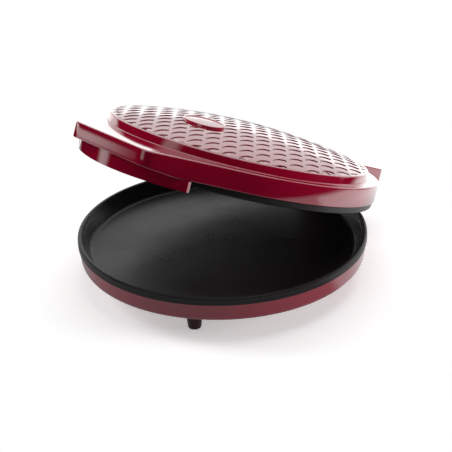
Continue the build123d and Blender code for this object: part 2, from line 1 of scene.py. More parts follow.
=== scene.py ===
"""Electric pizza maker: the looks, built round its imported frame. Metres, in the frame of the CAD."""

import math
from collections import namedtuple

import bmesh
import bpy
from mathutils import Matrix, Vector


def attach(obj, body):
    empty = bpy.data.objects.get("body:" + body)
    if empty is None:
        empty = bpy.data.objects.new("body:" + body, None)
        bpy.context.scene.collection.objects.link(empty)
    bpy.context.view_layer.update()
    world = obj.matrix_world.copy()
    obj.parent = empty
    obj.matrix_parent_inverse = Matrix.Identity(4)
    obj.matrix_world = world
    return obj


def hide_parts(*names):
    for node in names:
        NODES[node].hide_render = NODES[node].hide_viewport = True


bl_info = {
    "name": "Electric pizza maker",
    "version": (1, 0, 0),
    "blender": (4, 5, 0),
    "location": "3D View > Sidebar > Pizza maker",
    "description": "Dresses the packed frame of a round countertop pizza maker",
    "category": "Object",
}

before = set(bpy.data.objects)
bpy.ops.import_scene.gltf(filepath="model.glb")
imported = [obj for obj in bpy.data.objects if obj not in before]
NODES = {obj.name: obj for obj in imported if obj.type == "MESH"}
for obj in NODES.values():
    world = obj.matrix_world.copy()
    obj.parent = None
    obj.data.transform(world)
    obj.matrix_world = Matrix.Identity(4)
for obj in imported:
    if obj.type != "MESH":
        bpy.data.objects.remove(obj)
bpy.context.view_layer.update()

MM = 0.001
COLOURS, LID, LATTICE = "pizza_colours", "pizza_lid", "pizza_lattice"
SCREWS, STAGE = "pizza_screws", "pizza_stage"

# Sizes, counts and proportions
LID_WALL = 2.4 * MM
PAN_RIM_HEIGHT = 52.0 * MM
PILLAR_CIRCLE = 118.0 * MM
FILM_WIDTH = 36
LATTICE_COLUMNS, LATTICE_ROWS = 25, 15
SLOT_SPAN, SLOT_FLOOR_SPAN, SLOT_FLOOR_HALF = 0.62, 0.45, 0.35
BADGE_POINTS, PAN_POINTS, ROUND_POINTS = 72, 160, 24
INNER_CROWN_RADII = [radius * MM for radius in (120, 90, 60, 30)]

# Looks that materials share
# painted shade: share by which the dimples' walls are darkened, standing in for the shade in their hollows
PAINTED_WALL_SHADE = 0.60
FLECKS_PER_METRE, CLOUDS_PER_METRE = 420, 14
GRAIN_DEPTH = 0.2 * MM


# Colours and sizes that a user would change

def colour(name, description, value):
    """Colour property, linear."""
    return bpy.props.FloatVectorProperty(
        name=name, description=description, subtype="COLOR", size=3, min=0, max=1, default=value)


def length(name, description, value):
    """Length property, given in millimetres."""
    return bpy.props.FloatProperty(
        name=name, description=description, subtype="DISTANCE", precision=5, default=value * MM)


def angle(name, description, value):
    """Angle property, given in degrees."""
    return bpy.props.FloatProperty(
        name=name, description=description, subtype="ANGLE", default=math.radians(value))


def power(name, description, value):
    """Power property, given in watts."""
    return bpy.props.FloatProperty(name=name, description=description, unit="POWER", default=value)


class FinishColours(bpy.types.PropertyGroup):
    """Colours of the machine's finishes, linear."""

    red: colour("Red gloss", "Lid, grip and bowl", (0.34, 0.003, 0.028))
    badge: colour("Badge", "Bare oval plate on the lid", (0.40, 0.02, 0.05))
    coating: colour("Non-stick", "Coating of the pan and the lid's plate", (0.014, 0.011, 0.012))
    fleck: colour("Flecks", "Small paler flecks in the coating", (0.032, 0.029, 0.029))
    foot: colour("Feet", "Dark red plastic of the feet", (0.05, 0.003, 0.006))


class StageSettings(bpy.types.PropertyGroup):
    """Camera, light and floor."""

    azimuth: angle("Azimuth", "Camera's turn round the machine", 46.58)
    elevation: angle("Elevation", "Camera's height above the horizon", 26.27)
    roll: angle("Roll", "Camera's turn about its view", -1.08)
    distance: length("Distance", "Camera's distance from the pan", 1287.23)
    aside: length("Aside", "Camera's step to its right", 23.11)
    above: length("Above", "Camera's step upwards", 4.30)
    lens: bpy.props.FloatProperty(name="Lens", description="Focal length", unit="CAMERA", default=92.34)
    shift_x: bpy.props.FloatProperty(
        name="Shift across", description="Shift of the picture, in its widths", default=-0.03825)
    shift_y: bpy.props.FloatProperty(
        name="Shift up", description="Shift of the picture, in its widths", default=-0.00827)
    left_watts: power("Left lamp", "Power of the lamp on the camera's left", 16)
    right_watts: power("Right lamp", "Power of the lamp on the right", 10)
    top_watts: power("Top lamp", "Power of the lamp above", 12)


class LidSizes(bpy.types.PropertyGroup):
    """Plan and heights of the lid, closed, with the pan's centre as the plan's origin."""

    skirt_radius: length("Skirt radius", "Round part of the lid", 158.0)
    handle_half_width: length("Handle half width", "Half the handle's straight edge", 57.0)
    handle_front: length("Handle front", "Where the handle's edge lies, front negative", -183.4)
    handle_turn: angle("Handle flare", "Turn of the flare beside the handle", 32.0)
    hinge_half_width: length("Hinge half width", "Half the hinge lobe's width", 59.0)
    hinge_back: length("Hinge back", "Where the hinge lobe's edge lies", 190.5)
    hinge_back_top: length("Hinge back top", "Height of the hinge lobe at its back", 79.7)
    hinge_start: length("Hinge lobe start", "Where the hinge lobe's slope starts, inside the disc", 120.0)
    hinge_start_top: length("Hinge start top", "Height of the hinge lobe where it starts", 85.8)
    hinge_side: length("Hinge side", "Thickness of the hinge lobe's side webs", 4.5)
    hinge_round: length("Hinge round", "Round between the flange and the hanging wall", 20.0)
    handle_corner: length("Handle corner", "Rounding between the handle's front and its flares", 20.0)
    corner: length("Corner", "Rounding of the hinge lobe's corners", 4.5)
    flange_top: length("Flange height", "Top of the flange", 80.0)
    hinge_flange_depth: length("Hinge flange depth", "Thickness of the hinge lobe", 6.0)
    skirt_bottom: length("Skirt bottom", "Lower edge of the skirt", 59.6)
    handle_skirt_bottom: length("Handle skirt bottom", "Lower edge of the skirt at the handle", 64.0)
    ramp_end: length("Ramp end", "Where the skirt reaches its full depth", -157.0)
    disc_radius: length("Disc radius", "Upper edge of the raised disc", 144.0)
    disc_foot_radius: length("Disc foot radius", "Where the disc meets the flange", 145.6)
    disc_top: length("Disc height", "Upper edge of the disc's wall", 88.2)
    dome_rise: length("Dome rise", "Crown above the disc's edge", 16.3)
    wall_bottom: length("Hanging wall bottom", "Lower edge of the wall at the hinge", 53.8)
    wall_depth: length("Hanging wall depth", "Thickness of the wall at the hinge", 9.0)
    hinge_y: length("Hinge distance", "Hinge pin behind the pan's centre", 181.9)
    hinge_z: length("Hinge height", "Hinge pin above the table", 36.8)
    badge_y: length("Badge place", "Middle of the oval plate, front negative", -60.0)
    badge_half_length: length("Badge half length", "Half the oval plate's length", 27.0)
    badge_half_width: length("Badge half width", "Half the oval plate's width", 18.0)
    open_angle: angle("Open angle", "How far the lid stands open at rest", 20.26)
    pan_ahead: length("Pan ahead", "How far the pan's centre lies before the frame's origin", 22.2)


class LatticeSizes(bpy.types.PropertyGroup):
    """Staggered lattice of leaf-shaped dimples on the dome."""

    pitch_across: length("Pitch across", "From one column of dimples to the next", 12.4)
    pitch_along: length("Pitch along", "Half the distance between dimples of one column", 12.0)
    phase: length("Phase", "Place of the middle row", 3.35)
    leaf_half_width: length("Leaf half width", "Half a dimple's width", 4.3)
    leaf_half_length: length("Leaf half length", "Half a dimple's length", 10.4)
    leaf_power: bpy.props.FloatProperty(
        name="Leaf fullness", description="Higher makes the dimples blunter", default=3.0, min=1, max=8)
    depth: length("Depth", "Depth of the dimples", 0.8)
    trim_radius: length("Trim radius", "Circle at which the lattice ends", 141.0)


class ScrewSizes(bpy.types.PropertyGroup):
    """Screws that are seen from below."""

    head_radius: length("Head radius", "Radius of a screw's head", 3.6)
    head_height: length("Head height", "Height of a round head", 2.4)
    flat_height: length("Flat head height", "Height of a flat head", 1.4)
    shank_radius: length("Shank radius", "Radius of a screw's shank", 2.0)
    slot_width: length("Slot width", "Width of the cross slot", 1.0)
    slot_depth: length("Slot depth", "Depth of the cross slot", 1.1)
    seed: bpy.props.IntProperty(name="Seed", description="Turns of the screws' cross slots", default=7)


def colours():
    """The scene's finish colours."""
    return getattr(bpy.context.scene, COLOURS)


def lid_sizes():
    """The scene's lid sizes."""
    return getattr(bpy.context.scene, LID)


def lattice_sizes():
    """The scene's lattice sizes."""
    return getattr(bpy.context.scene, LATTICE)


def screw_sizes():
    """The scene's screw sizes."""
    return getattr(bpy.context.scene, SCREWS)


def stage_settings():
    """The scene's stage settings."""
    return getattr(bpy.context.scene, STAGE)


# Shader helpers

def added(tree, kind, inputs=None, **settings):
    """New node with its properties set and its inputs fed from sockets or plain values."""
    node = tree.nodes.new(kind)
    for key, setting in settings.items():
        setattr(node, key, setting)
    for key, source in (inputs or {}).items():
        if isinstance(source, bpy.types.NodeSocket):
            tree.links.new(source, node.inputs[key])
        else:
            node.inputs[key].default_value = source
    return node


def mapped(tree, value, low, high, start=0.0, end=1.0):
    """Smooth step of a value between two bounds."""
    bounds = {"Value": value, "From Min": low, "From Max": high, "To Min": start, "To Max": end}
    return added(tree, "ShaderNodeMapRange", bounds, interpolation_type="SMOOTHSTEP").outputs["Result"]


def combined(tree, operation, first, second):
    """Result of a Math node on two values or sockets."""
    return added(tree, "ShaderNodeMath", {0: first, 1: second}, operation=operation).outputs[0]


def product(tree, first, *others):
    """Product of values or sockets."""
    for other in others:
        first = combined(tree, "MULTIPLY", first, other)
    return first


def largest(tree, first, *others):
    """Largest of values or sockets."""
    for other in others:
        first = combined(tree, "MAXIMUM", first, other)
    return first


def mixed(tree, factor, first, second):
    """Mix Shader node's result."""
    return added(tree, "ShaderNodeMixShader", {0: factor, 1: first, 2: second}).outputs[0]


def glow(tree, strength):
    """White Emission node's result, its strength a number or a socket."""
    return added(tree, "ShaderNodeEmission", {"Strength": strength}).outputs[0]


def object_place(tree):
    """Object coordinates."""
    return added(tree, "ShaderNodeTexCoord").outputs["Object"]


def blended(tree, factor, first, second, blend="MIX"):
    """Colour that goes from a first to a second one."""
    colours_in = {"Factor": factor, "A": first, "B": second}
    return added(tree, "ShaderNodeMix", colours_in, data_type="RGBA", blend_type=blend).outputs["Result"]


def new_material(name):
    """Material with its node tree and its Principled BSDF."""
    material = bpy.data.materials.new(name)
    material.use_nodes = True
    tree = material.node_tree
    return material, tree, tree.nodes["Principled BSDF"]


def grain_group():
    """Shader group: fine moulding grain as a normal, and faint clouds of gloss and shade."""
    name = "moulded grain"
    if name in bpy.data.node_groups:
        return bpy.data.node_groups[name]
    group = bpy.data.node_groups.new(name, "ShaderNodeTree")
    for label, value in (("Scale", 900.0), ("Height", 0.05), ("Gloss low", 0.1), ("Gloss high", 0.2)):
        socket = group.interface.new_socket(label, in_out="INPUT", socket_type="NodeSocketFloat")
        socket.default_value = value
    for label, kind in (("Normal", "Vector"), ("Roughness", "Float"), ("Shade", "Float")):
        group.interface.new_socket(label, in_out="OUTPUT", socket_type="NodeSocket" + kind)
    given = added(group, "NodeGroupInput").outputs
    place = object_place(group)
    grain_noise = {"Vector": place, "Scale": given["Scale"], "Detail": 3}
    grain = added(group, "ShaderNodeTexNoise", grain_noise).outputs["Fac"]
    cloud_noise = {"Vector": place, "Scale": CLOUDS_PER_METRE, "Detail": 5}
    cloud = added(group, "ShaderNodeTexNoise", cloud_noise).outputs["Fac"]
    relief = {"Height": grain, "Strength": given["Height"], "Distance": GRAIN_DEPTH}
    gloss = {"Value": cloud, "From Min": 0.35, "From Max": 0.65,
             "To Min": given["Gloss low"], "To Max": given["Gloss high"]}
    shade = {"Value": product(group, grain, cloud), "From Min": 0.12, "From Max": 0.40}
    added(group, "NodeGroupOutput", {
        "Normal": added(group, "ShaderNodeBump", relief).outputs["Normal"],
        "Roughness": added(group, "ShaderNodeMapRange", gloss).outputs["Result"],
        "Shade": added(group, "ShaderNodeMapRange", shade).outputs["Result"],
    })
    return group


def darkened(tree, paint, name, share):
    """Colour darkened by a share where the mesh's own attribute is 1: painted shade."""
    mark = added(tree, "ShaderNodeAttribute", attribute_name=name).outputs["Fac"]
    return blended(tree, mark, paint, (1 - share, 1 - share, 1 - share, 1), "MULTIPLY")


def flecked(tree, paint, fleck):
    """Colour with small flecks of a second colour, about 2.4 mm apart."""
    full, gone = 0.16, 0.22
    spots = added(tree, "ShaderNodeTexVoronoi", {"Vector": object_place(tree), "Scale": FLECKS_PER_METRE})
    mask = mapped(tree, spots.outputs["Distance"], full, gone, 1.0, 0.0)
    return blended(tree, mask, paint, (*fleck, 1))


def moulded(name, tone, low, high, scale=900.0, height=0.03, metallic=0.0, coat=0.0, uneven=0.10,
            ior=1.5, fleck=None):
    """Material of a moulded or coated surface: slightly uneven colour and gloss, and fine grain.

    low and high bound its roughness. The walls of the dimples, marked in the mesh, get painted shade: their
    colour is darkened.
    """
    material, tree, shader = new_material(name)
    settings = {"Scale": scale, "Height": height, "Gloss low": low, "Gloss high": high}
    grain = added(tree, "ShaderNodeGroup", settings, node_tree=grain_group()).outputs
    darker = (*(part * (1 - uneven) for part in tone), 1)
    lighter = (*(min(part * (1 + uneven), 1) for part in tone), 1)
    # painted shade on the dimples' walls, which the mesh marks
    paint = darkened(tree, blended(tree, grain["Shade"], darker, lighter), "wall", PAINTED_WALL_SHADE)
    if fleck is not None:
        paint = flecked(tree, paint, fleck)
    for socket, number in (("Metallic", metallic), ("Coat Weight", coat), ("IOR", ior), ("Coat IOR", ior)):
        shader.inputs[socket].default_value = number
    tree.links.new(paint, shader.inputs["Base Color"])
    for socket in ("Normal", "Roughness"):
        tree.links.new(grain[socket], shader.inputs[socket])
    return material


def dress(item, material):
    """Give an object one material."""
    item.data.materials.clear()
    item.data.materials.append(material)


def soften(node, width):
    """Round the sharp edges of a CAD node by modifiers; its mesh stays as it is."""
    item = NODES[node]
    weld = item.modifiers.new("weld", "WELD")
    weld.merge_threshold = 0.01 * MM
    bevel = item.modifiers.new("rounded edges", "BEVEL")
    bevel.width, bevel.segments = width, 3
    bevel.limit_method, bevel.angle_limit = "ANGLE", math.radians(50)


class PIZZA_OT_materials(bpy.types.Operator):
    """Give every CAD node its finish"""

    bl_idname = "pizza.materials"
    bl_label = "Finishes"

    def execute(self, context):
        c = colours()
        gloss = {"height": 0.02, "coat": 1.0, "uneven": 0.05, "ior": 1.7}
        red = moulded("red gloss plastic", c.red, 0.07, 0.12, **gloss)
        badge = moulded("badge plastic", c.badge, 0.08, 0.14, **gloss)
        coating = moulded("non-stick coating", c.coating, 0.24, 0.36, scale=1500, height=0.06, ior=1.42,
                          fleck=c.fleck)
        foot = moulded("foot plastic", c.foot, 0.15, 0.22)
        steel = moulded("satin steel", (0.55, 0.55, 0.56), 0.22, 0.35, metallic=1.0)
        sheet = moulded("bright sheet", (0.75, 0.75, 0.76), 0.12, 0.22, metallic=1.0)
        black = moulded("black plastic", (0.012, 0.012, 0.013), 0.3, 0.45, height=0.1)
        pale = moulded("pale plastic", (0.6, 0.58, 0.52), 0.3, 0.45)
        finishes = {
            "lid_shell": red, "handle_grip": red, "base_shell": red, "badge_plate": badge,
            "lower_plate": coating, "upper_plate": coating,
            "lower_reflector": sheet, "upper_reflector": sheet,
            "terminal_block": black, "thermostat": black, "cord_gland": black, "hinge_pin_caps": black,
            "hinge_bush_left": pale, "hinge_bush_right": pale,
        }
        for node in NODES:
            if node.startswith("foot_") and not node.endswith("screws"):
                finishes[node] = foot
            dress(NODES[node], finishes.get(node, steel))
        for node, width in (("handle_grip", 0.9), ("hinge_arm_left", 0.5), ("hinge_arm_right", 0.5)):
            soften(node, width * MM)
        return {"FINISHED"}


# Outline and heights of the lid

def ray(turn):
    """Plan direction at an angle."""
    return Vector((math.cos(turn), math.sin(turn)))


class Lobe:
    """One side of the handle's lobe: a straight edge, a rounded corner and a concave flare.

    It is worked out towards the back, and mirrored to the front when its stations are given.
    """

    def __init__(self, half_width, reach, turn, corner, skirt):
        self.reach, self.corner = reach, corner
        far = math.hypot(half_width, reach)
        self.end_angle = math.atan2(reach, half_width) - turn
        inner = far * math.cos(turn)
        self.radius = (skirt ** 2 + far ** 2 - 2 * skirt * inner) / (2 * inner - 2 * skirt)
        self.centre = ray(self.end_angle) * (skirt + self.radius)
        low = reach - corner
        across = math.sqrt((self.radius + corner) ** 2 - (low - self.centre.y) ** 2)
        self.round_centre = Vector((self.centre.x - across, low))

    @staticmethod
    def station(point, normal):
        """Plan point and normal, mirrored to the front."""
        return Vector((point.x, -point.y)), Vector((normal.x, -normal.y))

    def flare(self, count):
        """Stations from the round skirt along the flare, up to the rounded corner."""
        start = math.atan2(-self.centre.y, -self.centre.x)
        meet = self.round_centre - self.centre
        sweep = math.remainder(math.atan2(meet.y, meet.x) - start, math.tau)
        rays = [ray(start + sweep * i / count) for i in range(count)]
        return [self.station(self.centre + out * self.radius, -out) for out in rays]

    def rounding(self, count):
        """Stations round the corner, from the flare to the straight edge."""
        meet = self.centre - self.round_centre
        start = math.atan2(meet.y, meet.x)
        rays = [ray(start + (math.pi / 2 - start) * i / count) for i in range(count + 1)]
        return [self.station(self.round_centre + out * self.corner, out) for out in rays]

    def edge(self, count):
        """Stations along the straight edge, from the corner to the middle."""
        start = self.round_centre.x
        points = [Vector((start * (1 - i / count), self.reach)) for i in range(1, count + 1)]
        return [self.station(point, Vector((0, 1))) for point in points]


def whole_outline():
    """Plan of the lid as (point, normal), anticlockwise from the handle's middle."""
    s = lid_sizes()
    handle = Lobe(s.handle_half_width, -s.handle_front, s.handle_turn, s.handle_corner, s.skirt_radius)
    right = list(reversed(handle.flare(16) + handle.rounding(10) + handle.edge(12)))
    start, count = -handle.end_angle, 62
    for i in range(1, count + 1):
        out = ray(start + (math.pi / 2 - start) * i / count)
        right.append((out * s.skirt_radius, out))
    left = [(Vector((-p.x, p.y)), Vector((-n.x, n.y))) for p, n in reversed(right[1:-1])]
    return right + left


def dome_ball():
    """Radius of the dome's ball and the height of its centre."""
    s = lid_sizes()
    radius = (s.disc_radius ** 2 + s.dome_rise ** 2) / (2 * s.dome_rise)
    return radius, s.disc_top + s.dome_rise - radius


def dome_height(radius):
    """Height of the dome at a distance from the lid's centre."""
    ball, centre = dome_ball()
    return centre + math.sqrt(ball ** 2 - radius ** 2)


def base_pose():
    """From the pan's centre to the shared frame."""
    return Matrix.Translation((0, -lid_sizes().pan_ahead, 0))


def rest_pose():
    """From the closed lid, over the pan's centre, to the shared frame with the lid open."""
    s = lid_sizes()
    pin = Vector((0, s.hinge_y, s.hinge_z))
    turn = Matrix.Translation(pin) @ Matrix.Rotation(-s.open_angle, 4, "X") @ Matrix.Translation(-pin)
    return base_pose() @ turn


# Mesh helpers

def ring_of(bm, points):
    """Vertices of one closed ring."""
    return [bm.verts.new(point) for point in points]


def bridge(bm, low, high):
    """Quads between two rings of the same count."""
    low_next, high_next = low[1:] + low[:1], high[1:] + high[:1]
    return [bm.faces.new(corners) for corners in zip(low, low_next, high_next, high)]


def bridge_all(bm, rings):
    """Quads between each ring and the next."""
    for low, high in zip(rings, rings[1:]):
        bridge(bm, low, high)


def close_ring(bm, ring, centre):
    """Fan that closes a ring at one point."""
    tip = bm.verts.new(centre)
    for here, after in zip(ring, ring[1:] + ring[:1]):
        bm.faces.new((here, after, tip))


def circle_ring(bm, radius, height, count, x=0.0, y=0.0):
    """Level ring of vertices round an upright axis."""
    rays = [ray(math.tau * i / count) for i in range(count)]
    return ring_of(bm, [(x + radius * out.x, y + radius * out.y, height) for out in rays])


def new_mesh(bm, name):
    """Mesh made of a bmesh, which is then freed."""
    mesh = bpy.data.meshes.new(name)
    bm.to_mesh(mesh)
    bm.free()
    return mesh


def new_object(name, data):
    """Object linked into the scene."""
    item = bpy.data.objects.new(name, data)
    bpy.context.collection.objects.link(item)
    return item


def quarter(count):
    """Sine and one minus cosine of each step of a quarter turn."""
    steps = [math.pi / 2 * i / count for i in range(count + 1)]
    return [(math.sin(step), 1 - math.cos(step)) for step in steps]


def finish_mesh(bm, name, sharp=math.radians(32), pose=None):
    """Weld, turn outwards, pose and smooth a bmesh, and put it into the scene as a new piece."""
    weld, sliver = 0.002 * MM, 0.0001 * MM
    bmesh.ops.remove_doubles(bm, verts=bm.verts, dist=weld)
    bmesh.ops.dissolve_degenerate(bm, edges=bm.edges, dist=sliver)
    bmesh.ops.recalc_face_normals(bm, faces=bm.faces)
    if pose is not None:
        bmesh.ops.transform(bm, matrix=pose, verts=bm.verts)
    mesh = new_mesh(bm, name)
    mesh.shade_smooth()
    mesh.set_sharp_from_angle(angle=sharp)
    return new_object(name, mesh)


# Lattice of leaf-shaped dimples, by Geometry Nodes

def dimple_tile():
    """Mesh of one lattice tile: flat border, leaf-shaped edge, steep wall and flat floor at height -1.

    The steps of its wall are shares of the leaf's width and length, and a height.
    """
    s = lattice_sizes()
    half_x, half_y = s.pitch_across / 2, s.pitch_along
    border = [(x / 2, -1) for x in (-2, -1, 0, 1)] + [(1, y / 3) for y in (-3, -2, -1, 0, 1, 2)]
    border += [(-x, -y) for x, y in border]
    along = (-0.82, -0.93, -1, -0.93, -0.82, -0.62, -0.33, 0, 0.33, 0.62)
    side = (-1, -1, 0, 1, 1, 1, 1, 1, 1, 1)
    leaf = [(sign * (1 - abs(t) ** s.leaf_power), t) for sign, t in zip(side, along)]
    leaf += [(-x, -t) for x, t in leaf]
    bm = bmesh.new()
    rings = [ring_of(bm, [(x * half_x, y * half_y, 0) for x, y in border])]
    wall_steps = ((1.0, 1.0, 0.0), (0.97, 0.985, -0.15), (0.92, 0.955, -1.0))
    for across, lengthwise, height in wall_steps:
        wide, long = s.leaf_half_width * across, s.leaf_half_length * lengthwise
        rings.append(ring_of(bm, [(x * wide, t * long, height) for x, t in leaf]))
    # faces of the dimples' walls are marked, so that the material paints shade on them
    painted_shade_layer = bm.faces.layers.float.new("wall")
    bridge(bm, rings[0], rings[1])
    for low, high in zip(rings[1:], rings[2:]):
        for face in bridge(bm, low, high):
            face[painted_shade_layer] = 1.0
    floor, tip, count = rings[-1], 2, len(leaf)
    for i in range(count // 2):
        left, right = (tip - i) % count, tip + i
        corners = [floor[left], floor[right], floor[(right + 1) % count], floor[(left - 1) % count]]
        bm.faces.new(list(dict.fromkeys(corners)))
    bmesh.ops.recalc_face_normals(bm, faces=bm.faces)
    if sum(face.normal.z for face in bm.faces) < 0:
        bmesh.ops.reverse_faces(bm, faces=bm.faces)
    return new_mesh(bm, "dimple tile")


class TreeMaker:
    """Short ways to add and link the nodes of a Geometry Nodes tree."""

    def __init__(self, name):
        self.tree = bpy.data.node_groups.new(name, "GeometryNodeTree")
        for direction in ("INPUT", "OUTPUT"):
            self.tree.interface.new_socket("Geometry", in_out=direction, socket_type="NodeSocketGeometry")
        self.entry = None

    def value(self, name, kind="NodeSocketFloat", default=None):
        """Add a named input to the tree."""
        socket = self.tree.interface.new_socket(name, in_out="INPUT", socket_type=kind)
        if default is not None:
            socket.default_value = default

    def start(self):
        """Add the group's entry node, once all inputs are named."""
        self.entry = self.tree.nodes.new("NodeGroupInput")

    def given(self, name):
        """Output of the entry node for a named input."""
        return self.entry.outputs[name]

    def node(self, kind, inputs=None, **settings):
        """Add a node to the tree."""
        return added(self.tree, kind, inputs, **settings)

    def math(self, operation, first, second=0.0):
        """Math node's result."""
        return combined(self.tree, operation, first, second)

    def square(self, value):
        """Value times itself."""
        return self.math("MULTIPLY", value, value)

    def vector(self, x=0.0, y=0.0, z=0.0):
        """Vector of three values."""
        return self.node("ShaderNodeCombineXYZ", {"X": x, "Y": y, "Z": z}).outputs[0]

    def position(self):
        """Separate XYZ node's outputs for the point's place."""
        place = self.node("GeometryNodeInputPosition").outputs[0]
        return self.node("ShaderNodeSeparateXYZ", {0: place}).outputs

    def grid(self, width, reach, columns, rows):
        """Grid of points."""
        sizes = {"Size X": width, "Size Y": reach, "Vertices X": columns, "Vertices Y": rows}
        return self.node("GeometryNodeMeshGrid", sizes).outputs["Mesh"]

    def end(self, geometry):
        """Realize the instances, set the material, link the result and give the tree."""
        real = self.node("GeometryNodeRealizeInstances", {"Geometry": geometry})
        finish = {"Geometry": real.outputs[0], "Material": self.given("Finish")}
        dressed = self.node("GeometryNodeSetMaterial", finish)
        self.node("NodeGroupOutput", {"Geometry": dressed.outputs[0]})
        return self.tree


def lattice_tiles(t):
    """Tiles in columns, each odd column half a dimple further along, welded into one flat sheet."""
    across, along = t.given("Pitch across"), t.given("Pitch along")
    width = t.math("MULTIPLY", t.math("SUBTRACT", t.given("Columns"), 1), across)
    step = t.math("MULTIPLY", along, 2)
    reach = t.math("MULTIPLY", t.math("SUBTRACT", t.given("Rows"), 1), step)
    grid = t.grid(width, reach, t.given("Columns"), t.given("Rows"))
    column = t.math("ROUND", t.math("DIVIDE", t.position()["X"], across))
    odd = t.math("FLOORED_MODULO", column, 2)
    down = t.math("ADD", t.given("Phase"), t.math("MULTIPLY", odd, along))
    points = t.node("GeometryNodeSetPosition", {"Geometry": grid, "Offset": t.vector(y=down)})
    tiles = t.node("GeometryNodeInstanceOnPoints",
                   {"Points": points.outputs[0], "Instance": t.given("Geometry")})
    plain = t.node("GeometryNodeRealizeInstances", {"Geometry": tiles.outputs[0]})
    welded = t.node("GeometryNodeMergeByDistance", {"Geometry": plain.outputs[0], "Distance": 0.05 * MM})
    return welded.outputs[0]


def lattice_tree():
    """Tree that lays tiles in staggered columns, trims them to a circle and bends them onto the dome."""
    t = TreeMaker("dome lattice")
    for name in ("Pitch across", "Pitch along", "Phase", "Trim radius", "Ball radius", "Ball centre",
                 "Depth"):
        t.value(name)
    t.value("Columns", "NodeSocketInt", LATTICE_COLUMNS)
    t.value("Rows", "NodeSocketInt", LATTICE_ROWS)
    t.value("Finish", "NodeSocketMaterial")
    t.start()
    sheet, trim, ball = lattice_tiles(t), t.given("Trim radius"), t.given("Ball radius")
    place = t.position()
    x, y, z = place["X"], place["Y"], place["Z"]
    radius = t.math("SQRT", t.math("ADD", t.square(x), t.square(y)))
    outside = t.node("FunctionNodeCompare", {"A": radius, "B": trim}, operation="GREATER_EQUAL")
    whole = t.node("GeometryNodeFieldOnDomain", {0: outside.outputs[0]}, domain="POINT",
                   data_type="BOOLEAN")
    kept = t.node("GeometryNodeDeleteGeometry", {"Geometry": sheet, "Selection": whole.outputs[0]},
                  domain="FACE")
    shrink = t.math("MINIMUM", 1.0, t.math("DIVIDE", trim, t.math("MAXIMUM", radius, MM)))
    inside = t.math("MINIMUM", radius, trim)
    height = t.math("SQRT", t.math("SUBTRACT", t.square(ball), t.square(inside)))
    to_edge = {"Value": t.math("SUBTRACT", trim, radius), "From Min": 0.1 * MM, "From Max": 1.3 * MM}
    fade = t.node("ShaderNodeMapRange", to_edge)
    sunk = t.math("MULTIPLY", t.math("MULTIPLY", z, t.given("Depth")), fade.outputs["Result"])
    top = t.math("ADD", t.math("ADD", t.given("Ball centre"), height), sunk)
    bent = t.vector(t.math("MULTIPLY", x, shrink), t.math("MULTIPLY", y, shrink), top)
    domed = t.node("GeometryNodeSetPosition", {"Geometry": kept.outputs[0], "Position": bent})
    joined = t.node("GeometryNodeMergeByDistance", {"Geometry": domed.outputs[0], "Distance": 0.1 * MM})
    return t.end(joined.outputs[0])


def grown_mesh(mesh, tree, values):
    """Mesh that a Geometry Nodes tree makes of a base mesh, with its inputs given by name."""
    holder = new_object("holder", mesh)
    modifier = holder.modifiers.new("nodes", "NODES")
    modifier.node_group = tree
    for item in tree.interface.items_tree:
        if item.item_type == "SOCKET" and item.in_out == "INPUT" and item.name in values:
            modifier[item.identifier] = values[item.name]
    graph = bpy.context.evaluated_depsgraph_get()
    made = bpy.data.meshes.new_from_object(holder.evaluated_get(graph))
    holder.modifiers.clear()
    bpy.data.objects.remove(holder)
    return made


def lattice_mesh(material):
    """Dimpled middle of the dome, closed lid, up to the lattice's circle."""
    s = lattice_sizes()
    ball, centre = dome_ball()
    values = {
        "Pitch across": s.pitch_across, "Pitch along": s.pitch_along, "Phase": s.phase,
        "Trim radius": s.trim_radius, "Ball radius": ball, "Ball centre": centre, "Depth": s.depth,
        "Columns": LATTICE_COLUMNS, "Rows": LATTICE_ROWS, "Finish": material,
    }
    return grown_mesh(dimple_tile(), lattice_tree(), values)


def boundary_loop(bm):
    """Vertices of the open edge of a mesh, in order, anticlockwise."""
    edges = {edge for edge in bm.edges if edge.is_boundary}
    first = max((vert for edge in edges for vert in edge.verts), key=lambda v: v.co.x)
    loop, seen = [first], {first}
    while True:
        options = [e.other_vert(loop[-1]) for e in loop[-1].link_edges if e in edges]
        fresh = [vert for vert in options if vert not in seen]
        if not fresh:
            break
        if len(loop) == 1:
            fresh.sort(key=lambda v: -v.co.y)
        loop.append(fresh[0])
        seen.add(fresh[0])
    return loop


def bearing(vert):
    """Angle of a vertex round the upright axis."""
    return math.atan2(vert.co.y, vert.co.x)


def bearings(ring, start):
    """Angles of a ring's vertices, without a jump, and of its first vertex one turn on."""
    turns, last = [], start
    for vert in ring:
        turn = bearing(vert)
        last = turn + math.tau * round((last - turn) / math.tau)
        turns.append(last)
    return turns + [turns[0] + math.tau]


def zip_rings(bm, inner, outer):
    """Triangles between two rings of different counts, both anticlockwise."""
    first = bearing(inner[0])
    gaps = [abs(math.remainder(bearing(vert) - first, math.tau)) for vert in outer]
    begin = gaps.index(min(gaps))
    outer = outer[begin:] + outer[:begin]
    inner_angles, outer_angles = bearings(inner, first), bearings(outer, first)
    i = j = 0
    while i < len(inner) or j < len(outer):
        a, b = inner[i % len(inner)], outer[j % len(outer)]
        step_inner = j >= len(outer) or (i < len(inner) and inner_angles[i + 1] < outer_angles[j + 1])
        if step_inner:
            i += 1
            bm.faces.new((a, b, inner[i % len(inner)]))
        else:
            j += 1
            bm.faces.new((a, b, outer[j % len(outer)]))


# Lid

def skirt_bottom(y):
    """Height of the skirt's lower edge: shallower under the handle."""
    s = lid_sizes()
    reach = (s.ramp_end - y) / (s.ramp_end - s.handle_front)
    return s.skirt_bottom + (s.handle_skirt_bottom - s.skirt_bottom) * min(max(reach, 0), 1)


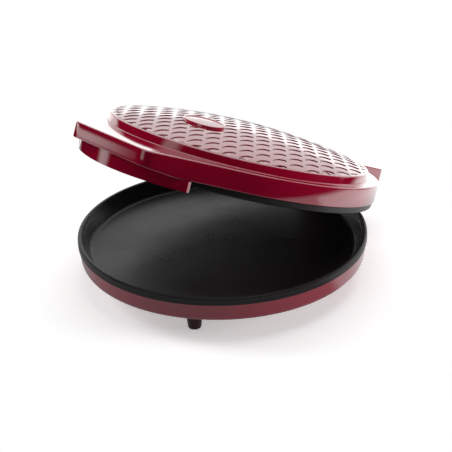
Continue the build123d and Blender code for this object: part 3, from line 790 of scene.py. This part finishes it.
def disc_edge_arc(rounding):
    """Section points of the round between the dome and the disc's sloping wall."""
    s = lid_sizes()
    dome_tilt = math.asin(s.disc_radius / dome_ball()[0])
    wall_tilt = math.pi / 2 - math.atan2(s.disc_foot_radius - s.disc_radius, s.disc_top - s.flange_top)
    spread = math.sin(wall_tilt - dome_tilt)
    centre_x = s.disc_radius - rounding * (math.cos(dome_tilt) - math.cos(wall_tilt)) / spread
    centre_z = s.disc_top - rounding * (math.sin(wall_tilt) - math.sin(dome_tilt)) / spread
    tilts = [dome_tilt + (wall_tilt - dome_tilt) * i / 6 for i in range(7)]
    return [(centre_x + rounding * math.sin(tilt), centre_z + rounding * math.cos(tilt)) for tilt in tilts]


def lid_rings(bm):
    """Rings of the lid from the lattice's circle, over the flange and the skirt, to the inner crown."""
    s, wall = lid_sizes(), LID_WALL
    plan = whole_outline()
    rays = [point.normalized() for point, _ in plan]
    top, edge, foot = s.flange_top, s.disc_radius, s.disc_foot_radius
    seam, flat_edge = 0.8 * MM, 2.0 * MM
    start = lattice_sizes().trim_radius + seam
    round_edge, round_foot, round_flange, round_hem = 1.4 * MM, 1.2 * MM, 1.8 * MM, 0.7 * MM

    def circle(radius, height):
        """Level circle with as many points as the plan."""
        return ring_of(bm, [(out.x * radius, out.y * radius, height) for out in rays])

    def along(inset, height):
        """Ring at an inset from the plan; height is a number or a function of the plan point."""
        points = []
        for point, normal in plan:
            spot = point - normal * inset
            points.append((spot.x, spot.y, height(point) if callable(height) else height))
        return ring_of(bm, points)

    rings = [circle(start, dome_height(start))]
    rings += [circle(radius, height) for radius, height in disc_edge_arc(round_edge)]
    for sine, lift in quarter(4):
        rings.append(circle(foot + round_foot * lift, top + round_foot * (1 - sine)))
    rings.append(along(round_flange + flat_edge, top))
    for sine, lift in quarter(6):
        rings.append(along(round_flange * (1 - sine), top - round_flange * lift))
    for sine, lift in quarter(3):
        rings.append(along(round_hem * lift, lambda p, k=sine: skirt_bottom(p.y) + round_hem * (1 - k)))
    rings.append(along(wall, lambda p: skirt_bottom(p.y)))
    rings.append(along(wall, top - wall))
    rings.append(circle(foot - wall, top - wall))
    rings.append(circle(edge - wall, dome_height(edge) - wall))
    rings += [circle(radius, dome_height(radius) - wall) for radius in INNER_CROWN_RADII]
    return rings


def lobe_loop(front, web, inset):
    """Plan of the hinge lobe: back wall with rounded corners, side webs and the front between them.

    front gives the front's place from the distance aside; web is where the side webs start.
    """
    s = lid_sizes()
    wide, back, corner = s.hinge_half_width - inset, s.hinge_back - inset, s.corner - inset
    inner = s.hinge_half_width - s.hinge_side
    right = [(wide, web(wide)), (wide, (web(wide) + back - corner) / 2)]
    for i in range(7):
        out = ray(math.pi / 2 * i / 6) * corner
        right.append((wide - corner + out.x, back - corner + out.y))
    right += [(inner * i / 8, back) for i in range(7, 0, -1)]
    loop = right + [(0, back)] + [(-x, y) for x, y in reversed(right)]
    loop += [(-inner, web(inner))] + [(inner * i / 8, front(abs(inner * i / 8))) for i in range(-8, 9)]
    return loop + [(inner, web(inner))]


def hinge_lobe(bm):
    """Closed shell of the hinge lobe: hanging wall, round, side webs and the top that slopes to the back."""
    s = lid_sizes()
    ledge = s.flange_top - s.hinge_flange_depth
    low, turn = s.wall_bottom, ledge - s.hinge_round
    slope = (s.hinge_back_top - s.hinge_start_top) / (s.hinge_back - s.hinge_start)
    face = s.hinge_back - s.wall_depth
    wall_taper, rounding = 3.0 * MM, 1.5 * MM

    def disc_edge(x):
        """How far back the disc's edge lies at a distance aside."""
        return math.sqrt(s.disc_radius ** 2 - x ** 2)

    def wall_ring(z, inset):
        """Ring of the hanging wall and the side webs at a height."""
        front = face - wall_taper * (z - low) / (ledge - low)
        web = face + inset
        if z > turn:
            web = face - s.hinge_round + math.sqrt(s.hinge_round ** 2 - (z - turn) ** 2)
        web = min(web, front)
        return ring_of(bm, [(x, y, z) for x, y in lobe_loop(lambda x: front, lambda x: web, inset)])

    hem = ((0, 1), (0.3, 0.3), (1, 0))
    rings = [wall_ring(low + rise * MM, inset * MM) for rise, inset in hem]
    for degrees in (0, 15, 30, 45, 58, 70, 80, 86, 90):
        rings.append(wall_ring(turn + s.hinge_round * math.sin(math.radians(degrees)), 0.0))
    rings.append(ring_of(bm, [(x, y, ledge) for x, y in lobe_loop(disc_edge, disc_edge, 0.0)]))
    for sine, lift in reversed(quarter(5)):
        loop = lobe_loop(disc_edge, disc_edge, rounding * (1 - sine))
        top = s.hinge_start_top - rounding * lift
        rings.append(ring_of(bm, [(x, y, top + slope * (y - s.hinge_start)) for x, y in loop]))
    bridge_all(bm, rings)
    bm.faces.new(rings[-1])
    middle = sum((vert.co for vert in rings[0]), Vector()) / len(rings[0])
    close_ring(bm, rings[0], middle)


def lid_cover(material):
    """The red lid's two pieces: lattice, disc, flange, skirt and inner walls, and the hinge lobe."""
    bm = bmesh.new()
    bm.from_mesh(lattice_mesh(material))
    inner = boundary_loop(bm)
    rings = lid_rings(bm)
    zip_rings(bm, inner, rings[0])
    bridge_all(bm, rings)
    close_ring(bm, rings[-1], (0, 0, dome_height(0) - LID_WALL))
    piece = finish_mesh(bm, "lid_cover", pose=rest_pose())
    wall = bmesh.new()
    hinge_lobe(wall)
    return piece, finish_mesh(wall, "lid_hinge_lobe", pose=rest_pose())


def badge_plate():
    """Bare oval plate on the dome with a rounded rim round a slightly lower field."""
    s = lid_sizes()
    bm = bmesh.new()
    root, field = -0.6, 1.8
    rim = [(0, root), (0, 1.8), (0.1, 2.1), (0.4, 2.4), (0.9, 2.6), (2.3, 2.6), (2.7, 2.4), (2.9, 2.0)]
    rings = []
    for inset, height in rim + [(3.2, field), (8.0, field), (14.0, field)]:
        points = []
        for i in range(BADGE_POINTS):
            out = ray(math.tau * i / BADGE_POINTS)
            x = (s.badge_half_length - inset * MM) * out.x
            y = s.badge_y + (s.badge_half_width - inset * MM) * out.y
            points.append((x, y, dome_height(math.hypot(x, y)) + height * MM))
        rings.append(ring_of(bm, points))
    bridge_all(bm, rings)
    for ring, height in ((rings[-1], field), (rings[0], root)):
        close_ring(bm, ring, (0, s.badge_y, dome_height(abs(s.badge_y)) + height * MM))
    return finish_mesh(bm, "badge_oval", pose=rest_pose())


def rounded_section(corners, count=5):
    """Section points of corners (radius, height, rounding), the rounded ones replaced by arcs."""
    points = []
    for before, (x, z, rounding), after in zip(corners, corners[1:], corners[2:]):
        here = Vector((x, z))
        if not rounding:
            points.append((x, z))
            continue
        back = (Vector(before[:2]) - here).normalized()
        ahead = (Vector(after[:2]) - here).normalized()
        half = back.angle(ahead) / 2
        reach = rounding / math.tan(half)
        centre = here + (back + ahead).normalized() * rounding / math.sin(half)
        first, last = here + back * reach - centre, here + ahead * reach - centre
        start = math.atan2(first.y, first.x)
        sweep = math.remainder(math.atan2(last.y, last.x) - start, math.tau)
        arc = [centre + rounding * ray(start + sweep * i / count) for i in range(count + 1)]
        points += [(point.x, point.y) for point in arc]
    return points


def add_rod(bm, x, y, low, high, radius):
    """Closed upright cylinder."""
    rings = [circle_ring(bm, radius, z, ROUND_POINTS, x, y) for z in (low, high)]
    bridge_all(bm, rings)
    for ring, z in zip(rings, (low, high)):
        close_ring(bm, ring, (x, y, z))


def turned_mesh(bm, corners):
    """Solid of revolution of a section's corners (radius, height, rounding), from axis to axis."""
    section = rounded_section([(-1, corners[0][1], 0)] + corners + [(-1, corners[-1][1], 0)])
    rings = [circle_ring(bm, radius, height, PAN_POINTS) for radius, height in section[1:-1]]
    bridge_all(bm, rings)
    close_ring(bm, rings[0], (0, 0, section[0][1]))
    close_ring(bm, rings[-1], (0, 0, section[-1][1]))


def pan_piece():
    """Dark pan: floor, sloping wall, rolled rim, underside and the bosses below it."""
    floor, under, rim, lip, tuck = 34.0, 30.0, PAN_RIM_HEIGHT / MM, 43.75, 49.3
    outside, inside_lip, inside_rim = 160.0, 157.4, 154.8
    section = [
        (0, floor, 0), (60, floor, 0), (110, floor, 0), (147.5, floor, 7.0), (155.9, rim, 1.6),
        (outside, rim, 2.0), (outside, lip, 0.5), (inside_lip, lip, 0.5), (inside_lip, tuck, 0.8),
        (inside_rim, tuck, 0.8), (152.9, 46.8, 0), (145.4, under, 6.0), (60, under, 0), (0, under, 0),
    ]
    bm = bmesh.new()
    turned_mesh(bm, [(x * MM, z * MM, rounding * MM) for x, z, rounding in section])
    reach = PILLAR_CIRCLE * math.sqrt(0.5)
    boss_low, boss_high, boss_radius = 20.8 * MM, 30.2 * MM, 5.0 * MM
    for x, y in ((1, 1), (-1, 1), (-1, -1), (1, -1)):
        add_rod(bm, x * reach, y * reach, boss_low, boss_high, boss_radius)
    return finish_mesh(bm, "pan_coated", sharp=math.radians(50), pose=base_pose())


def cross_ring(bm, reach, half, height):
    """Ring of a cross-shaped slot."""
    corner = [(reach, -half), (reach, half), (half, half)]
    points = []
    for c, s in ((1, 0), (0, 1), (-1, 0), (0, -1)):
        points += [(x * c - y * s, x * s + y * c, height) for x, y in corner]
    return ring_of(bm, points)


def screw_mesh(name, head_height, rounding, tip):
    """Screw with its head below: cross slot, head, shank and a bevelled tip."""
    s = screw_sizes()
    bm = bmesh.new()
    head, shank, bevel = s.head_radius, s.shank_radius, 0.6 * MM
    outline = [(head - rounding, 0), (head - rounding * 0.3, rounding * 0.3), (head, rounding),
               (head, head_height), (shank, head_height), (shank, tip - bevel), (shank - bevel, tip)]
    rings = [circle_ring(bm, radius, height, ROUND_POINTS) for radius, height in outline]
    slot = cross_ring(bm, head * SLOT_SPAN, s.slot_width / 2, 0)
    zip_rings(bm, slot, rings[0])
    deep = cross_ring(bm, head * SLOT_FLOOR_SPAN, s.slot_width * SLOT_FLOOR_HALF, s.slot_depth)
    bridge(bm, slot, deep)
    close_ring(bm, deep, (0, 0, s.slot_depth))
    bridge_all(bm, rings)
    close_ring(bm, rings[-1], (0, 0, tip))
    bmesh.ops.recalc_face_normals(bm, faces=bm.faces)
    return new_mesh(bm, name)


def screw_tree():
    """Tree that sets a screw at the corners of a rectangle or the ends of a line, each turned at random."""
    t = TreeMaker("screws in their places")
    for name in ("Width", "Length", "Ahead", "Height"):
        t.value(name)
    t.value("Rows", "NodeSocketInt", 2)
    t.value("Seed", "NodeSocketInt", 7)
    t.value("Finish", "NodeSocketMaterial")
    t.start()
    grid = t.grid(t.given("Width"), t.given("Length"), 2, t.given("Rows"))
    shift = t.vector(y=t.given("Ahead"), z=t.given("Height"))
    points = t.node("GeometryNodeSetPosition", {"Geometry": grid, "Offset": shift})
    chance = t.node("FunctionNodeRandomValue", {"Seed": t.given("Seed")}, data_type="FLOAT")
    turn = t.vector(z=t.math("MULTIPLY", chance.outputs[1], math.tau))
    places = {"Points": points.outputs[0], "Instance": t.given("Geometry"), "Rotation": turn}
    set_in = t.node("GeometryNodeInstanceOnPoints", places)
    return t.end(set_in.outputs[0])


# Equal screws: node, body, rectangle or line of their places, rows, heights of head and tip, flat or not
ScrewGroup = namedtuple("ScrewGroup", "node body width length ahead rows low tip flat")


def screw_groups():
    """Groups of equal screws, in millimetres from the pan's centre, the lid closed."""
    pillars = 2 * PILLAR_CIRCLE / MM * math.sqrt(0.5)
    return (
        ScrewGroup("foot_screws", "base", 144.0, 216.0, 0.0, 2, 3.1, 19.2, False),
        ScrewGroup("lower_plate_screws", "base", pillars, pillars, 0.0, 2, 15.6, 29.0, False),
        ScrewGroup("upper_plate_screws", "lid", pillars, pillars, 0.0, 2, 62.2, 76.4, True),
        ScrewGroup("grip_screws", "lid", 68.0, 0.0, -165.0, 1, 61.6, 75.0, False),
    )


def screw_piece(tree, group, material):
    """One group of equal screws as a single piece."""
    s = screw_sizes()
    head, rounding = (s.flat_height, 0.3 * MM) if group.flat else (s.head_height, 1.2 * MM)
    mesh = screw_mesh(group.node + " one", head, rounding, (group.tip - group.low) * MM)
    values = {
        "Width": group.width * MM, "Length": group.length * MM, "Ahead": group.ahead * MM,
        "Height": group.low * MM, "Rows": group.rows, "Seed": s.seed, "Finish": material,
    }
    bm = bmesh.new()
    bm.from_mesh(grown_mesh(mesh, tree, values))
    pose = rest_pose() if group.body == "lid" else base_pose()
    return finish_mesh(bm, group.node + "_crossed", sharp=math.radians(35), pose=pose)


class PIZZA_OT_screws(bpy.types.Operator):
    """Build the screws that are seen from below"""

    bl_idname = "pizza.screws"
    bl_label = "Screws"

    def execute(self, context):
        steel = bpy.data.materials["satin steel"]
        tree = screw_tree()
        for group in screw_groups():
            piece = screw_piece(tree, group, steel)
            dress(piece, steel)
            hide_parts(group[0])
            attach(piece, group[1])
        return {"FINISHED"}


class PIZZA_OT_pan(bpy.types.Operator):
    """Build the dark pan"""

    bl_idname = "pizza.pan"
    bl_label = "Pan"

    def execute(self, context):
        piece = pan_piece()
        dress(piece, bpy.data.materials["non-stick coating"])
        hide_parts("lower_plate")
        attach(piece, "base")
        return {"FINISHED"}


class PIZZA_OT_badge(bpy.types.Operator):
    """Build the bare oval plate on the lid"""

    bl_idname = "pizza.badge"
    bl_label = "Badge"

    def execute(self, context):
        piece = badge_plate()
        dress(piece, bpy.data.materials["badge plastic"])
        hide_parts("badge_plate")
        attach(piece, "lid")
        return {"FINISHED"}


class PIZZA_OT_lid(bpy.types.Operator):
    """Build the red lid with its dimple lattice"""

    bl_idname = "pizza.lid"
    bl_label = "Lid"

    def execute(self, context):
        red = bpy.data.materials["red gloss plastic"]
        for piece in lid_cover(red):
            dress(piece, red)
            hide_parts("lid_shell")
            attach(piece, "lid")
        return {"FINISHED"}


# Stage

def camera_axes(settings):
    """Camera's right, up and back, before its roll."""
    turn, lift = settings.azimuth, settings.elevation
    back = Vector((math.sin(turn) * math.cos(lift), -math.cos(turn) * math.cos(lift), math.sin(lift)))
    right = Vector((math.cos(turn), math.sin(turn), 0))
    return right, back.cross(right), back


def add_camera():
    """Camera at the photograph's viewing angle."""
    settings = stage_settings()
    right, up, back = camera_axes(settings)
    c, s = math.cos(settings.roll), math.sin(settings.roll)
    place = right * settings.aside + up * settings.above + back * settings.distance
    place += Vector((0, -lid_sizes().pan_ahead, PAN_RIM_HEIGHT))
    rolled_right = right * c + up * s
    rolled_up = up * c - right * s
    data = bpy.data.cameras.new("camera")
    data.lens = settings.lens
    data.sensor_width = FILM_WIDTH
    data.shift_x, data.shift_y = settings.shift_x, settings.shift_y
    camera = new_object("camera", data)
    turn = Matrix((rolled_right, rolled_up, back)).transposed().to_4x4()
    camera.matrix_world = Matrix.Translation(place) @ turn
    bpy.context.scene.camera = camera


def add_lamp(name, place, target, size, watts):
    """Soft rectangular lamp aimed at a point, which reflections don't show."""
    data = bpy.data.lights.new(name, "AREA")
    data.shape = "RECTANGLE"
    data.size, data.size_y = size
    data.energy = watts
    lamp = new_object(name, data)
    aim = Vector(target) - Vector(place)
    lamp.matrix_world = Matrix.Translation(place) @ aim.to_track_quat("-Z", "Y").to_matrix().to_4x4()
    lamp.visible_glossy = False


def add_lamps():
    """One lamp on each side of the camera and one above."""
    settings = stage_settings()
    add_lamp("left lamp", (-1.3, -0.75, 0.8), (0, -0.05, 0.1), (0.7, 0.9), settings.left_watts)
    add_lamp("right lamp", (1.15, 0.75, 0.35), (0.05, 0.02, 0.08), (0.5, 0.6), settings.right_watts)
    add_lamp("top lamp", (0.1, 0.3, 1.6), (0, 0, 0.05), (1.2, 1.2), settings.top_watts)


def set_world():
    """Weak white light all round, plain white where the camera or a reflection sees it."""
    world = bpy.data.worlds.new("studio")
    bpy.context.scene.world = world
    world.use_nodes = True
    tree = world.node_tree
    tree.nodes.clear()
    path = added(tree, "ShaderNodeLightPath").outputs
    seen = largest(tree, path["Is Camera Ray"], path["Is Glossy Ray"], path["Is Transmission Ray"])
    white = (1, 1, 1, 1)
    weak = added(tree, "ShaderNodeBackground", {"Color": white, "Strength": 0.10}).outputs[0]
    plain = added(tree, "ShaderNodeBackground", {"Color": white, "Strength": 1.0}).outputs[0]
    added(tree, "ShaderNodeOutputWorld", {"Surface": mixed(tree, seen, weak, plain)})


def polar(tree):
    """Place of a point of the stage, its angle round the stage's middle and its height."""
    place = object_place(tree)
    spot = added(tree, "ShaderNodeSeparateXYZ", {0: place}).outputs
    return place, combined(tree, "ARCTAN2", spot["Y"], spot["X"]), spot["Z"]


def swept(tree, turn, low, high, start=0.0, end=1.0):
    """Smooth step of an angle between two bounds in degrees."""
    return mapped(tree, turn, math.radians(low), math.radians(high), start, end)


def floor_in_gloss(tree, turn, radius):
    """Strength of the floor in reflections: bright patches that are painted highlights, a painted shadow
    that dims it close to the machine, and dark far off.

    One patch lies on the right, one behind the machine and far off on the left, and one is a strip that
    draws the streak on the grip.
    """
    beyond = mapped(tree, radius, 0.48, 0.72)
    right = product(tree, swept(tree, turn, 0, 14, 0.0, 1.5), mapped(tree, radius, 0.45, 0.62, 1.0, 0.0))
    back_left = largest(tree, swept(tree, turn, 110, 125, 1.0, 0.0), beyond)
    behind = product(tree, swept(tree, turn, 58, 100, 0.0, 1.7), back_left)
    strip = product(tree, swept(tree, turn, -145, -138), swept(tree, turn, -134, -128, 1.2, 0.0), beyond)
    patches = largest(tree, right, behind, strip, combined(tree, "SUBTRACT", 0.75, beyond))
    patches = largest(tree, combined(tree, "SUBTRACT", patches, 0.2), 0.0)
    # painted shadow: the floor in reflections is dimmer close to the machine
    return product(tree, mapped(tree, radius, 0.19, 0.34, 0.45, 1.0), patches)


def floor_material():
    """Pale floor: the camera sees it white far away, with the machine's shadow near it."""
    material, tree, shader = new_material("floor")
    shader.inputs["Base Color"].default_value = (0.55, 0.55, 0.555, 1)
    shader.inputs["Roughness"].default_value = 0.9
    shader.inputs["Specular IOR Level"].default_value = 0
    place, turn, _ = polar(tree)
    radius = added(tree, "ShaderNodeVectorMath", {0: place}, operation="LENGTH").outputs["Value"]
    shadow_fill, fade_start, fade_end = 0.42, 0.18, 0.31
    pale = added(tree, "ShaderNodeBsdfDiffuse", {"Color": (0.95, 0.94, 0.945, 1)}).outputs[0]
    shadowed = added(tree, "ShaderNodeAddShader", {0: pale, 1: glow(tree, shadow_fill)}).outputs[0]
    by_camera = mixed(tree, mapped(tree, radius, fade_start, fade_end), shadowed, glow(tree, 1.0))
    in_gloss = glow(tree, floor_in_gloss(tree, turn, radius))
    path = added(tree, "ShaderNodeLightPath").outputs
    plain = mixed(tree, path["Is Camera Ray"], shader.outputs[0], by_camera)
    surface = mixed(tree, path["Is Glossy Ray"], plain, in_gloss)
    tree.links.new(surface, tree.nodes["Material Output"].inputs["Surface"])
    return material


def add_floor():
    """Pale floor that fades into the white and keeps the machine's shadow."""
    half = 12.0
    corners = [(x * half, y * half, 0) for x, y in ((-1, -1), (1, -1), (1, 1), (-1, 1))]
    mesh = bpy.data.meshes.new("floor")
    mesh.from_pydata(corners, [], [(0, 1, 2, 3)])
    mesh.materials.append(floor_material())
    floor = new_object("floor", mesh)


def card_material():
    """Dark card with white patches that draw the gloss's highlights, and white towards its top."""
    material, tree, shader = new_material("dark card")
    tree.nodes.remove(shader)
    _, turn, height = polar(tree)
    right_end = swept(tree, turn, 46, 60)
    left_end = swept(tree, turn, -179, -170, 1.0, 0.0)
    handle_front = product(tree, swept(tree, turn, -133, -126.5, 1.2, 0.0),
                           mapped(tree, height, 0.24, 0.30, 1.0, 0.0))
    raised = product(tree, largest(tree, handle_front, left_end), mapped(tree, height, 0.10, 0.16))
    handle_corner = product(tree, swept(tree, turn, -113, -106), swept(tree, turn, -100, -88, 0.7, 0.0),
                            mapped(tree, height, 0.245, 0.275))
    grip_streak = product(tree, swept(tree, turn, -145, -138), swept(tree, turn, -134, -128, 1.0, 0.0),
                          mapped(tree, height, 0.10, 0.16, 1.0, 0.0))
    top = mapped(tree, height, 1.15, 1.5)
    light = largest(tree, right_end, raised, handle_corner, grip_streak, top)
    tree.links.new(glow(tree, light), tree.nodes["Material Output"].inputs["Surface"])
    return material


def card_mesh():
    """Upright card curved round the machine, from behind its right to behind its left."""
    columns, reach, top = 32, 0.95, 1.6
    start, end = math.radians(62), math.radians(-179.5)
    bm = bmesh.new()
    edges = []
    for i in range(columns + 1):
        spot = reach * ray(start + (end - start) * i / columns)
        edges.append([bm.verts.new((spot.x, spot.y, z)) for z in (0.0, top)])
    for low, high in zip(edges, edges[1:]):
        bm.faces.new((low[0], high[0], high[1], low[1]))
    return new_mesh(bm, "dark card")


def add_dark_card():
    """Curved dark card on the camera's side, seen only in reflections."""
    card = new_object("dark_card", card_mesh())
    card.data.materials.append(card_material())
    card.visible_camera = False
    card.visible_diffuse = False
    card.visible_shadow = False
    card.visible_transmission = False


class PIZZA_OT_stage(bpy.types.Operator):
    """Add the camera, the world, the floor, the dark card and the lamps"""

    bl_idname = "pizza.stage"
    bl_label = "Stage"

    def execute(self, context):
        context.scene.view_settings.view_transform = "Standard"
        add_camera()
        set_world()
        add_floor()
        add_dark_card()
        add_lamps()
        return {"FINISHED"}


class PIZZA_PT_panel(bpy.types.Panel):
    """Buttons of the pizza maker's steps"""

    bl_idname = "PIZZA_PT_panel"
    bl_label = "Pizza maker"
    bl_space_type = "VIEW_3D"
    bl_region_type = "UI"
    bl_category = "Pizza maker"

    def draw(self, context):
        for operator in OPERATORS:
            self.layout.operator(operator.bl_idname)


GROUPS = {COLOURS: FinishColours, LID: LidSizes, LATTICE: LatticeSizes, SCREWS: ScrewSizes,
          STAGE: StageSettings}
OPERATORS = (PIZZA_OT_materials, PIZZA_OT_lid, PIZZA_OT_badge, PIZZA_OT_pan, PIZZA_OT_screws,
             PIZZA_OT_stage)


def register():
    """Register the classes and hang the settings on the scene."""
    for group in GROUPS.values():
        bpy.utils.register_class(group)
    for operator in OPERATORS:
        bpy.utils.register_class(operator)
    bpy.utils.register_class(PIZZA_PT_panel)
    for name, group in GROUPS.items():
        setattr(bpy.types.Scene, name, bpy.props.PointerProperty(type=group))


def unregister():
    """Undo register."""
    for name in GROUPS:
        delattr(bpy.types.Scene, name)
    bpy.utils.unregister_class(PIZZA_PT_panel)
    for operator in reversed(OPERATORS):
        bpy.utils.unregister_class(operator)
    for group in reversed(list(GROUPS.values())):
        bpy.utils.unregister_class(group)


def main():
    """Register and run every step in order."""
    register()
    for operator in OPERATORS:
        family, step = operator.bl_idname.split(".")
        getattr(getattr(bpy.ops, family), step)()


if __name__ == "__main__":
    main()
